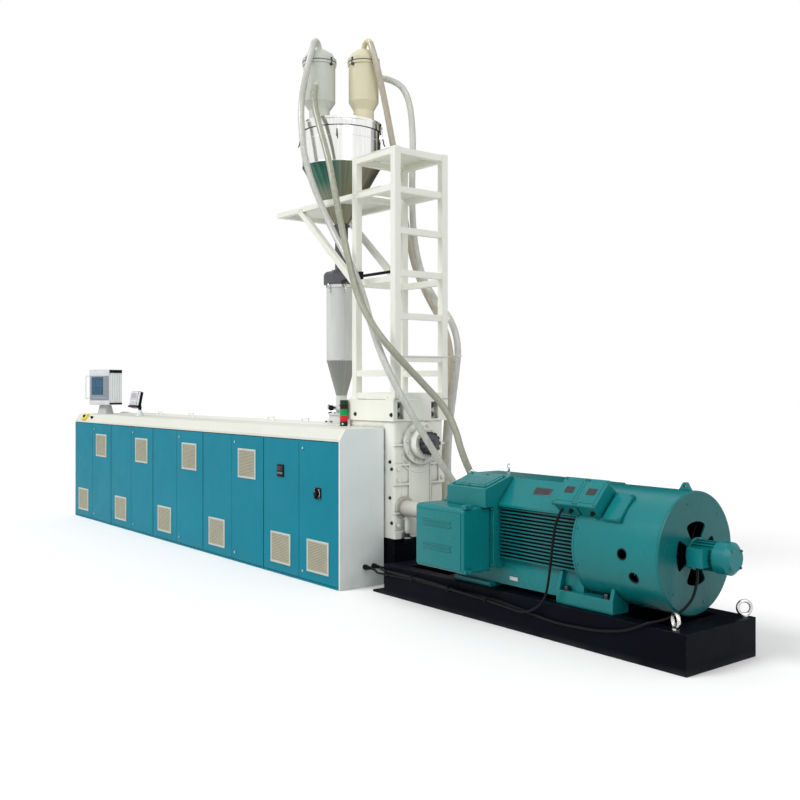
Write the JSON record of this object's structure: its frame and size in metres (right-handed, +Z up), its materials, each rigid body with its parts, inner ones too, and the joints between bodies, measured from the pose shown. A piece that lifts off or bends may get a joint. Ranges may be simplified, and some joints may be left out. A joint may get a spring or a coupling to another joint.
{
  "type": "plastic extruder",
  "caption": "Single-screw plastic extruder with a motor on a base, gearbox, covered barrel, teal door cabinet and a feed tower with hoppers and hose loaders.",
  "frame": {"origin": "on the floor, on the motor's axis line, at the cabinet's motor-side end, under the gearbox plinth", "axes": "+X along the machine towards the motor end, +Y away from the operator, +Z up"},
  "size_m": [8.952, 1.277, 4.684],
  "materials": {
    "cream_paint": "satin",
    "white_grey_paint": "satin",
    "teal_paint": "satin",
    "motor_green_paint": "gloss",
    "navy_paint": "gloss",
    "stainless": "polished",
    "grey_paint": "satin",
    "dark_steel": "satin",
    "beige_paint": "satin",
    "black_plastic": "matte",
    "signal_plastic": "gloss",
    "panel_grey": "satin",
    "hose_grey": "gloss",
    "hose_olive": "gloss",
    "hose_beige": "gloss"
  },
  "bodies": {
    "machine": {"auxiliary_boxes": "motor_green_paint", "barrel_guard": "cream_paint", "barrel_outlet": "dark_steel", "base_frame": "navy_paint", "cabinet_back_wall": "white_grey_paint", "cabinet_dividers": "white_grey_paint", "cabinet_end_panels": "white_grey_paint", "cabinet_floor": "teal_paint", "cabinet_top_cover": "cream_paint", "coupling_guard": "cream_paint", "door_hinge_pins": "dark_steel", "dosing_hopper": "grey_paint", "dosing_hopper_cap": "dark_steel", "drop_pipe": "dark_steel", "fan_cowl": "motor_green_paint", "fan_motor": "motor_green_paint", "feed_throat": "grey_paint", "gearbox_housing": "cream_paint", "gearbox_plinth": "navy_paint", "gearbox_shaft_end": "dark_steel", "hose_1": "hose_grey", "hose_2": "hose_olive", "hose_3": "hose_beige", "hose_4": "hose_grey", "hose_ends": "dark_steel", "lifting_eyes": "dark_steel", "loader_left_body": "white_grey_paint", "loader_left_lid": "white_grey_paint", "loader_right_body": "beige_paint", "loader_right_lid": "beige_paint", "machine_bed": "white_grey_paint", "mixing_hopper": "stainless", "mixing_hopper_lid": "stainless", "motor_cables": "black_plastic", "motor_feet": "motor_green_paint", "motor_stator": "motor_green_paint", "operator_panel": "panel_grey", "panel_pedestal": "panel_grey", "platform": "cream_paint", "platform_braces": "cream_paint", "side_display": "black_plastic", "signal_tower": "signal_plastic", "terminal_box": "motor_green_paint", "terminal_neck": "motor_green_paint", "tower_cross_rails": "cream_paint", "tower_decks": "cream_paint", "tower_front_side": "cream_paint", "tower_rear_side": "cream_paint"},
    "door_1_left": {"door_1_left": "teal_paint"},
    "door_1_right": {"door_1_right": "teal_paint"},
    "door_2_left": {"door_2_left": "teal_paint"},
    "door_2_right": {"door_2_right": "teal_paint"},
    "door_3_left": {"door_3_left": "teal_paint"},
    "door_3_right": {"door_3_right": "teal_paint"},
    "door_4_left": {"door_4_left": "teal_paint"},
    "door_4_right": {"door_4_right": "teal_paint"},
    "door_5_left": {"door_5_left": "teal_paint", "process_meter": "black_plastic"},
    "door_5_right": {"door_5_right": "teal_paint", "main_switch": "black_plastic"}
  },
  "joints": [
    {"name": "door_1_left_hinge", "type": "hinge", "parent": "machine", "child": "door_1_left", "pos_m": [-5.687, -0.532, 0.58], "axis": [0, 0, -1], "range_deg": [0, 90]},
    {"name": "door_1_right_hinge", "type": "hinge", "parent": "machine", "child": "door_1_right", "pos_m": [-4.594, -0.532, 0.58], "axis": [0, 0, 1], "range_deg": [0, 90]},
    {"name": "door_2_left_hinge", "type": "hinge", "parent": "machine", "child": "door_2_left", "pos_m": [-4.548, -0.532, 0.58], "axis": [0, 0, -1], "range_deg": [0, 90]},
    {"name": "door_2_right_hinge", "type": "hinge", "parent": "machine", "child": "door_2_right", "pos_m": [-3.455, -0.532, 0.58], "axis": [0, 0, 1], "range_deg": [0, 90]},
    {"name": "door_3_left_hinge", "type": "hinge", "parent": "machine", "child": "door_3_left", "pos_m": [-3.409, -0.532, 0.58], "axis": [0, 0, -1], "range_deg": [0, 90]},
    {"name": "door_3_right_hinge", "type": "hinge", "parent": "machine", "child": "door_3_right", "pos_m": [-2.316, -0.532, 0.58], "axis": [0, 0, 1], "range_deg": [0, 90]},
    {"name": "door_4_left_hinge", "type": "hinge", "parent": "machine", "child": "door_4_left", "pos_m": [-2.27, -0.532, 0.58], "axis": [0, 0, -1], "range_deg": [0, 90]},
    {"name": "door_4_right_hinge", "type": "hinge", "parent": "machine", "child": "door_4_right", "pos_m": [-1.177, -0.532, 0.58], "axis": [0, 0, 1], "range_deg": [0, 90]},
    {"name": "door_5_left_hinge", "type": "hinge", "parent": "machine", "child": "door_5_left", "pos_m": [-1.131, -0.532, 0.58], "axis": [0, 0, -1], "range_deg": [0, 90]},
    {"name": "door_5_right_hinge", "type": "hinge", "parent": "machine", "child": "door_5_right", "pos_m": [-0.038, -0.532, 0.58], "axis": [0, 0, 1], "range_deg": [0, 90]}
  ]
}
